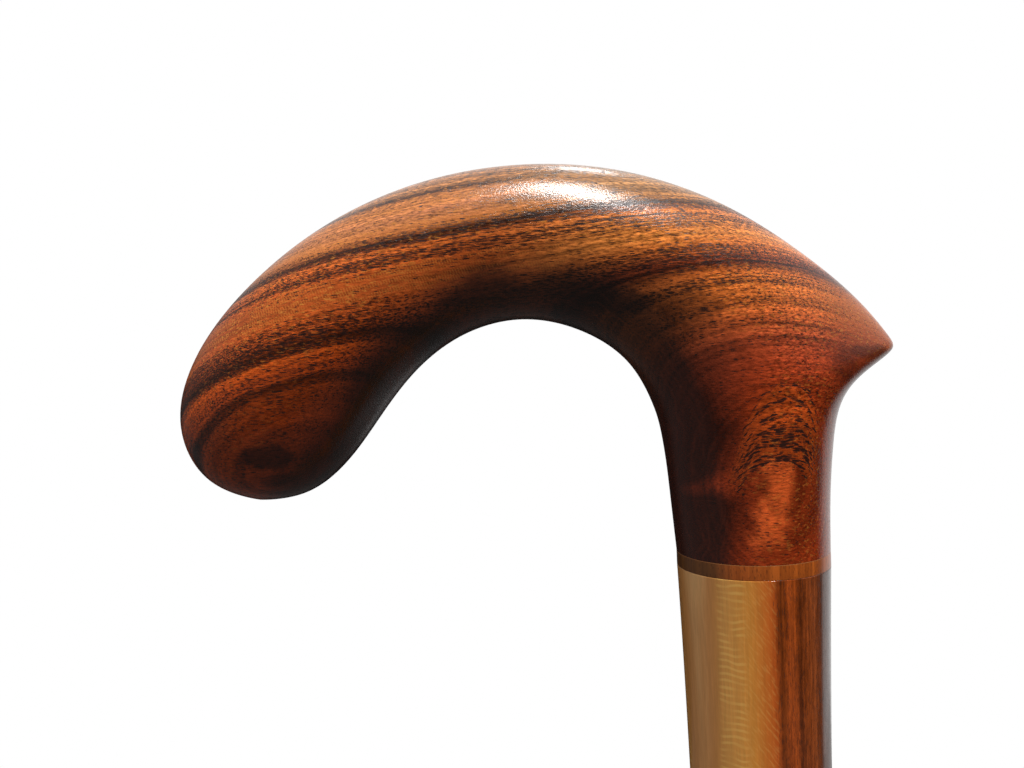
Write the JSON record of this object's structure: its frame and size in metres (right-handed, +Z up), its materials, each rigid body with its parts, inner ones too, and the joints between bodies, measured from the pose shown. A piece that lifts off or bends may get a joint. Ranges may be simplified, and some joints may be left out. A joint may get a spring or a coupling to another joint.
{
  "type": "walking cane",
  "caption": "Derby-handled wooden walking cane with a thin spacer ring, a tapered one-piece shaft and a pull-off rubber tip.",
  "frame": {"origin": "centre of the rubber tip's ground face, on the shaft's axis", "axes": "+Z up the shaft to the grip, the grip's arm points to -X and its beak to +X, +Y across the grip"},
  "size_m": [0.1237, 0.038, 0.914],
  "materials": {
    "grip_wood": "polished, oiled hardwood",
    "ring_wood": "polished",
    "shaft_wood": "satin varnish",
    "insert_brass": "turned",
    "stud_steel": "zinc plated",
    "tip_rubber": "matt moulded",
    "washer_steel": "pressed"
  },
  "bodies": {
    "cane": {"handle": "grip_wood", "handle_insert": "insert_brass", "joining_stud": "stud_steel", "spacer_ring": "ring_wood", "shaft": "shaft_wood", "shaft_insert": "insert_brass"},
    "tip": {"rubber_tip": "tip_rubber", "tip_washer": "washer_steel"}
  },
  "joints": [
    {"name": "tip_pull_off", "type": "slide", "parent": "cane", "child": "tip", "axis": [0, 0, -1], "range_m": [0, 0.036]}
  ]
}
